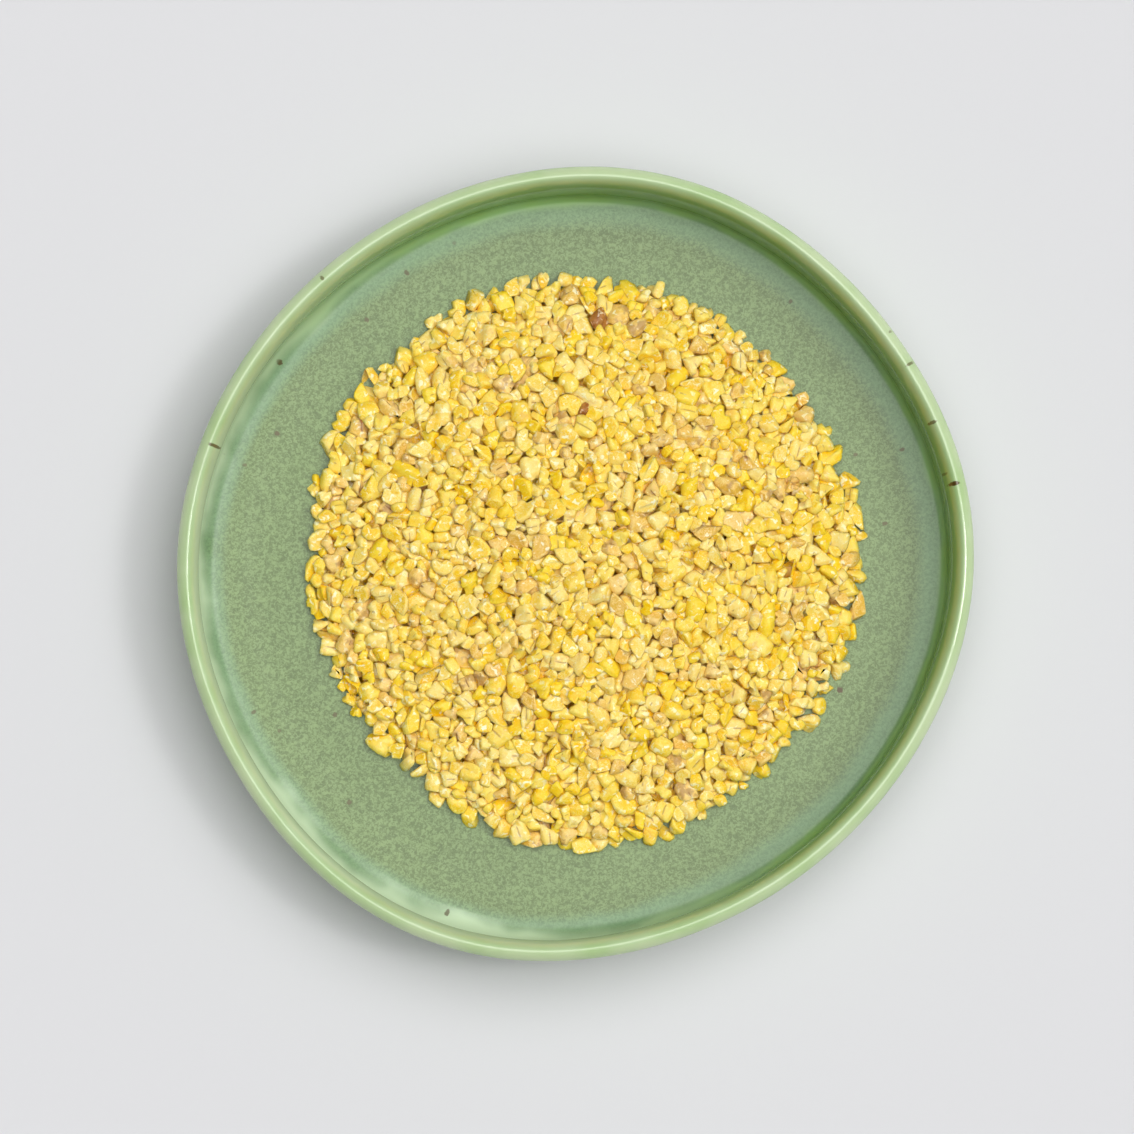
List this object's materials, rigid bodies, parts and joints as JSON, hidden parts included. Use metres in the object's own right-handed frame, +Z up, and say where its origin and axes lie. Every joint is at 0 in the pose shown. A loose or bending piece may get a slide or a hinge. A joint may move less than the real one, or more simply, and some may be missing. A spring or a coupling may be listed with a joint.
{
  "type": "dish of bulgur",
  "caption": "Shallow hand-thrown stoneware dish in speckled sage-green glaze, a little out of round, with a low heap of coarse yellow bulgur wheat in it.",
  "frame": {"origin": "on the table, under the middle of the dish's bounding box", "axes": "+Z up out of the dish, +Y to the side of the dish that is at the top as it is looked down on, +X to the right"},
  "size_m": [0.1262, 0.126, 0.0218],
  "materials": {
    "glaze": "glossy speckled sage-green glaze, turquoise where it pools",
    "wheat": "dry cracked wheat, waxy and a little translucent"
  },
  "bodies": {
    "root": {"dish": "glaze", "bulgur": "wheat"}
  },
  "joints": []
}
